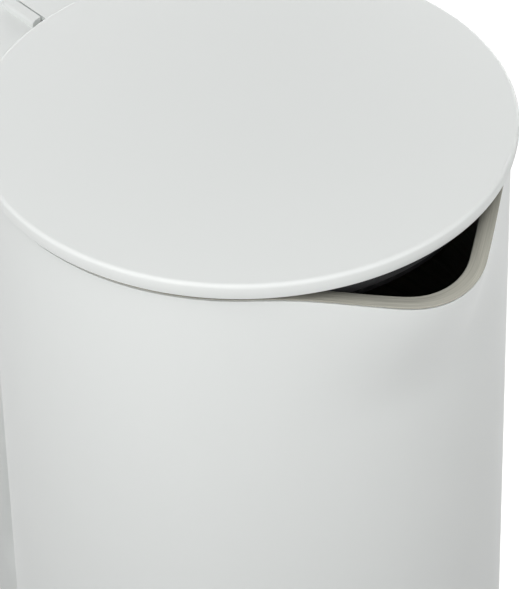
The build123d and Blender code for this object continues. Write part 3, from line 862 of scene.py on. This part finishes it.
def screw_tree():
    """Cross-head screws spread on a circle, heads at height nought and shanks upwards, then set in their place."""
    net, size = new_tree("cross_head_screws", SCREW_LABELS, {
        "Count": "NodeSocketInt", "Place": "NodeSocketVector", "Turn": "NodeSocketRotation"})

    def cone(low, high, tall, lift):
        made = net.node("GeometryNodeMeshCone", {"fill_type": "NGON"},
                        {"Vertices": 32, "Radius Top": high, "Radius Bottom": low, "Depth": tall})
        raised = net.node("ShaderNodeCombineXYZ", None, {"Z": lift})
        return net.node("GeometryNodeTransform", None, {"Geometry": made, "Translation": raised})

    def bar_across(x, y):
        box = net.node("ShaderNodeCombineXYZ", None, {"X": x, "Y": y, "Z": 2 * size["Recess Depth"]})
        return net.node("GeometryNodeMeshCube", None, {"Size": box})

    def join(parts, operation, first=None):
        sockets = {"Mesh 1": first, "Mesh 2": parts} if first else {"Mesh 2": parts}
        return net.node("GeometryNodeMeshBoolean", {"operation": operation, "solver": "EXACT"}, sockets, "Mesh")

    bevel = 0.4 * size["Head Height"]
    crown = cone(0.8 * size["Head Radius"], size["Head Radius"], bevel, 0.0)
    rim = cone(size["Head Radius"], size["Head Radius"], size["Head Height"] - bevel, bevel)
    tip = 0.6 * size["Shank Radius"]
    neck = 0.5 * size["Head Height"]
    shank = cone(size["Shank Radius"], size["Shank Radius"], size["Length"] - neck - tip, neck)
    point = cone(size["Shank Radius"], 0.5 * size["Shank Radius"], tip, size["Length"] - tip)
    whole = join([crown, rim, shank, point], "UNION")
    arm = 1.15 * size["Head Radius"]
    cross = [bar_across(arm, size["Recess Width"]), bar_across(size["Recess Width"], arm)]
    screw = join(cross, "DIFFERENCE", whole)

    angle = size["Start Angle"] + net.node("GeometryNodeInputIndex") * math.tau / size["Count"]
    reach = size["Circle Radius"]
    spot = net.node("ShaderNodeCombineXYZ", None,
                    {"X": reach * net.maths("COSINE", angle), "Y": reach * net.maths("SINE", angle)})
    spots = net.node("GeometryNodePoints", None, {"Count": size["Count"], "Position": spot})
    spread = net.node("GeometryNodeInstanceOnPoints", None, {"Points": spots, "Instance": screw})
    end_tree(net, net.node("GeometryNodeTransform", None, {
        "Geometry": spread, "Translation": size["Place"], "Rotation": size["Turn"]}), size["Finish"])
    return net


def screw_group(net, node, sizes, values):
    """One group of screws in the place of its CAD node."""
    values = dict(values)
    values.update({
        "Head Radius": sizes.head, "Head Height": sizes.head_height, "Shank Radius": sizes.shank,
        "Recess Width": sizes.recess, "Recess Depth": sizes.recess_depth, "Finish": finish_of("screw_steel"),
    })
    settle(grown(node + "_cross_head", net, values), body_of(node), "screw_steel", [node])


# Pieces

class KETTLE_OT_shell(bpy.types.Operator):
    """White outer shell with the swelling of the beak"""
    bl_idname = "kettle.shell"
    bl_label = "White shell"

    def execute(self, context):
        form = BodyForm(context.scene.kettle_body)
        settle(skin("white_shell", shell_columns(form)), "kettle", "white_shell", ["outer_shell"], sharp=40.0)
        return {"FINISHED"}


class KETTLE_OT_vessel(bpy.types.Operator):
    """Steel vessel with its turned-out pouring lip"""
    bl_idname = "kettle.vessel"
    bl_label = "Steel vessel"

    def execute(self, context):
        form = BodyForm(context.scene.kettle_body)
        columns, charts = vessel_columns(form)
        settle(skin("steel_vessel", columns, charts), "kettle", "vessel_steel", ["inner_vessel"], sharp=50.0)
        return {"FINISHED"}


class KETTLE_OT_lid(bpy.types.Operator):
    """Flat lid with a soft edge and its hinge tongue"""
    bl_idname = "kettle.lid"
    bl_label = "Lid"

    def execute(self, context):
        s = context.scene.kettle_lid
        lid = grown("lid_top", turned_tree("turned_lid", LID_LABELS, lid_corners), {
            "Radius": s.radius, "Bulge": s.bulge, "Edge": s.edge, "Top": s.top, "Top Sheet": s.top_sheet,
            "Skirt": s.skirt, "Crown": s.crown, "Soft": s.soft, "Steps": TURN_STEPS, "Arc Steps": ARC_STEPS,
            "Finish": finish_of("white_shell"),
        })
        weld(lid.data)
        half, low, ridge = s.tongue / 2, s.top - s.edge, s.hinge_height + s.knuckle
        outline = [(-half, low), (half, low), (half, ridge), (-half, ridge)]
        tongue = slab("tongue", outline, -s.hinge_back, s.skirt - s.radius)
        pin = Vector((-s.hinge_back, 0, s.hinge_height))
        side, past = Vector((0, half, 0)), Vector((0, half + MM, 0))
        carve(lid, [tongue, rod("knuckle", s.knuckle, pin - side, pin + side)], "UNION")
        carve(lid, [rod("pin_bore", s.bore, pin - past, pin + past)])
        settle(lid, "lid", "white_shell", ["lid_cover"])
        return {"FINISHED"}


class KETTLE_OT_handle(bpy.types.Operator):
    """Loop handle with flared arms, hinge slot, switch slot and the seat of the grip cover"""
    bl_idname = "kettle.handle"
    bl_label = "Handle"

    def execute(self, context):
        s = context.scene.kettle_handle
        body = context.scene.kettle_body
        lid = context.scene.kettle_lid
        top = lid.top - s.drop
        handle = skin("loop_handle", handle_columns(s, body.radius, top))
        carve(handle, [hinge_cheeks(s, lid, top)], "UNION")
        for tool in seat_cuts(s, body, lid, top) + fitting_cuts(s, lid.bore, context.scene.kettle_screws):
            carve(handle, [tool])
        settle(handle, "kettle", "white_shell", ["handle_shell"])
        return {"FINISHED"}


class KETTLE_OT_base(bpy.types.Operator):
    """Top of the power base with its soft edge"""
    bl_idname = "kettle.base"
    bl_label = "Power base"

    def execute(self, context):
        s = context.scene.kettle_base
        base = grown("base_top", turned_tree("turned_base", BASE_LABELS, base_corners), {
            "Radius": BASE_HIGH.y, "Top": BASE_HIGH.z, "Foot": BASE_LOW.z, "Wall": s.wall,
            "Hole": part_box("base_post")[1].y + s.post_gap, "Shoulder": s.shoulder, "Soft": s.soft,
            "Steps": TURN_STEPS, "Arc Steps": ARC_STEPS, "Finish": finish_of("white_shell"),
        })
        weld(base.data)
        low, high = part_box("cord_gland")
        middle = (low.z + high.z) / 2
        carve(base, [rod("gland_cut", high.y + FIT, (low.x - MM, 0, middle), (high.x + MM, 0, middle))])
        settle(base, "power_base", "white_shell", ["base_cover"])
        return {"FINISHED"}


SMOOTH_COPIES = [
    "grip_cover", "sole", "switch_paddle", "lid_plug", "lid_seal", "base_plate", "base_post", "base_foot", "cord_gland",
    "base_contacts", "kettle_socket", "socket_contacts", "hinge_pin", "switch_pin", "indicator_lens",
]


class KETTLE_OT_small_mouldings(bpy.types.Operator):
    """Small mouldings, pins and contacts: smooth copies of the CAD nodes"""
    bl_idname = "kettle.small_mouldings"
    bl_label = "Small mouldings"

    def execute(self, context):
        for node in SMOOTH_COPIES:
            mesh = frame["nodes"][node].data.copy()
            weld(mesh, outward=False)
            piece = new_object(node + "_smooth", mesh)
            settle(piece, body_of(node), slot_of(node), [node])
        return {"FINISHED"}


HIDDEN_WORKS = ["heater_plate", "heating_element", "thermostat_control", "bimetal_discs"]


class KETTLE_OT_hidden_works(bpy.types.Operator):
    """Finishes of the works under the vessel, which keep their CAD shapes"""
    bl_idname = "kettle.hidden_works"
    bl_label = "Hidden works"

    def execute(self, context):
        for node in HIDDEN_WORKS:
            target = frame["nodes"][node]
            target.data.materials.clear()
            target.data.materials.append(finish_of(slot_of(node)))
        return {"FINISHED"}


class KETTLE_OT_screws(bpy.types.Operator):
    """Cross-head screws of the lid, the sole, the base and the grip"""
    bl_idname = "kettle.screws"
    bl_label = "Screws"

    def execute(self, context):
        sizes = context.scene.kettle_screws
        tree = screw_tree()
        for node in ("lid_screws", "sole_screws", "base_screws"):
            low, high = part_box(node)
            screw_group(tree, node, sizes, {
                "Count": 3, "Circle Radius": -low.x - sizes.head, "Start Angle": sizes.start,
                "Length": high.z - low.z, "Place": (0.0, 0.0, low.z), "Turn": (0.0, 0.0, 0.0),
            })
        low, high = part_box("grip_screws")
        screw_group(tree, "grip_screws", sizes, {
            "Count": 2, "Circle Radius": (high.z - low.z) / 2 - sizes.head, "Start Angle": 0.0,
            "Length": high.x - low.x, "Place": (high.x, 0.0, (low.z + high.z) / 2), "Turn": (0.0, -math.pi / 2, 0.0),
        })
        return {"FINISHED"}


# Studio

FLOOR_HALF = 3.0


def where_seen(net):
    """One where the camera looks, straight or by way of metal or glass, and nought elsewhere."""
    seen = 0.0
    for ray in ("Is Camera Ray", "Is Glossy Ray", "Is Transmission Ray"):
        seen = net.maths("MAXIMUM", net.node("ShaderNodeLightPath", out=ray), seen)
    return seen


def studio_floor(s):
    """Floor that takes the light and the shadow, and looks white."""
    material, net = new_material("studio_floor")
    tone = noise(net, object_place(net), scale=3.0)
    matt = net.node("ShaderNodeBsdfDiffuse", None, {"Color": blend(net, tone, rgba(s.floor, 0.985), rgba(s.floor))})
    glow = net.node("ShaderNodeEmission", None, {"Color": rgba(s.floor_glow), "Strength": where_seen(net)})
    both = net.node("ShaderNodeAddShader", None, {0: matt, 1: glow})
    net.node("ShaderNodeOutputMaterial", None, {"Surface": both})
    return material


# Width of each lamp, and its place as the camera sees it: to the right, away and up
LAMPS = {
    "overhead": (0.90, (-0.12, -0.38, 0.85)),
    "left": (0.24, (-0.28, -0.08, 0.285)),
    "front_left": (0.24, (-0.17, -0.27, 0.285)),
    "front_right": (0.24, (0.19, -0.25, 0.285)),
    "right": (0.24, (0.29, -0.05, 0.285)),
    "back_left": (0.24, (-0.12, 0.32, 0.285)),
    "back_right": (0.24, (0.16, 0.30, 0.285)),
}


def soft_lamp(name, power, size, at, aim):
    """Round area lamp that the camera doesn't see."""
    light = bpy.data.lights.new(name, "AREA")
    light.shape = "DISK"
    light.size = size
    light.energy = power
    lamp = new_object(name, light)
    lamp.location = at
    lamp.rotation_mode = "QUATERNION"
    lamp.rotation_quaternion = (aim - at).to_track_quat("-Z", "Y")
    lamp.visible_camera = False


def studio_world(strength):
    """World that looks white and gives a little light."""
    world = bpy.data.worlds.new("studio_world")
    world.use_nodes = True
    world.node_tree.nodes.clear()
    net = Wire(world.node_tree)
    seen = where_seen(net)
    level = seen + (1 - seen) * strength
    sky = net.node("ShaderNodeBackground", None, {"Color": (1.0, 1.0, 1.0, 1.0), "Strength": level})
    net.node("ShaderNodeOutputWorld", None, {"Surface": sky})
    bpy.context.scene.world = world


def photo_camera(s, aim_height):
    """Camera aimed near the lid's middle, from the fitted angles."""
    back = Vector((0, -math.cos(s.camera_rise), math.sin(s.camera_rise)))
    right, ahead = Vector((1, 0, 0)), -back
    yaw = Matrix.Rotation(s.camera_yaw, 3, right.cross(ahead))
    ahead, right = yaw @ ahead, yaw @ right
    ahead = Matrix.Rotation(s.camera_pitch, 3, right) @ ahead
    right = Matrix.Rotation(s.camera_roll, 3, ahead) @ right
    axes = Matrix((right, right.cross(ahead), -ahead)).transposed()
    round_axis = Matrix.Rotation(s.camera_turn, 4, "Z")
    data = bpy.data.cameras.new("photo_camera")
    data.sensor_width = 36.0
    data.lens = s.lens
    camera = new_object("photo_camera", data)
    camera.matrix_world = (Matrix.Translation((0, 0, aim_height)) @ round_axis
                           @ Matrix.Translation(back * s.camera_away) @ axes.to_4x4())
    bpy.context.scene.camera = camera


class KETTLE_OT_stage(bpy.types.Operator):
    """Pale floor, soft studio light and the camera"""
    bl_idname = "kettle.stage"
    bl_label = "Stage"

    def execute(self, context):
        s = context.scene.kettle_stage
        lid = context.scene.kettle_lid
        mesh = bpy.data.meshes.new("studio_floor")
        corners = [(x * FLOOR_HALF, y * FLOOR_HALF, 0) for x, y in ((-1, -1), (1, -1), (1, 1), (-1, 1))]
        mesh.from_pydata(corners, [], [(0, 1, 2, 3)])
        mesh.materials.append(studio_floor(s))
        new_object("studio_floor", mesh)
        turned_by = Matrix.Rotation(s.camera_turn, 3, "Z")
        for name, (size, place) in LAMPS.items():
            at = turned_by @ Vector(place)
            aim = Vector((0, 0, min(at.z, lid.top)))
            soft_lamp(name, getattr(s, name), size, at, aim)
        studio_world(s.ambient)
        photo_camera(s, lid.top - lid.edge)
        context.scene.view_settings.view_transform = "Standard"
        return {"FINISHED"}


PIECES = (KETTLE_OT_shell, KETTLE_OT_vessel, KETTLE_OT_lid, KETTLE_OT_handle, KETTLE_OT_base, KETTLE_OT_small_mouldings,
          KETTLE_OT_hidden_works, KETTLE_OT_screws, KETTLE_OT_stage)


class KETTLE_PT_pieces(bpy.types.Panel):
    """Pieces, sizes and finishes of the kettle"""
    bl_idname = "KETTLE_PT_pieces"
    bl_label = "Jug kettle"
    bl_space_type = "VIEW_3D"
    bl_region_type = "UI"
    bl_category = "Kettle"

    def draw(self, context):
        for piece in PIECES:
            self.layout.operator(piece.bl_idname)
        for key, group in GROUPS.items():
            box = self.layout.box()
            box.label(text=group.__doc__)
            for name in group.__annotations__:
                box.prop(getattr(context.scene, key), name)


GROUPS = {
    "kettle_body": KettleBodySizes,
    "kettle_lid": KettleLidSizes,
    "kettle_handle": KettleHandleSizes,
    "kettle_base": KettleBaseSizes,
    "kettle_screws": KettleScrewSizes,
    "kettle_finishes": KettleFinishes,
    "kettle_stage": KettleStageSettings,
}


def register():
    for group in GROUPS.values():
        bpy.utils.register_class(group)
    for piece in PIECES + (KETTLE_PT_pieces,):
        bpy.utils.register_class(piece)
    for key, group in GROUPS.items():
        setattr(bpy.types.Scene, key, PointerProperty(type=group))


def unregister():
    for key in GROUPS:
        delattr(bpy.types.Scene, key)
    for piece in PIECES + (KETTLE_PT_pieces,):
        bpy.utils.unregister_class(piece)
    for group in GROUPS.values():
        bpy.utils.unregister_class(group)


def main():
    register()
    for piece in PIECES:
        family, name = piece.bl_idname.split(".")
        getattr(getattr(bpy.ops, family), name)()


if __name__ == "__main__":
    main()
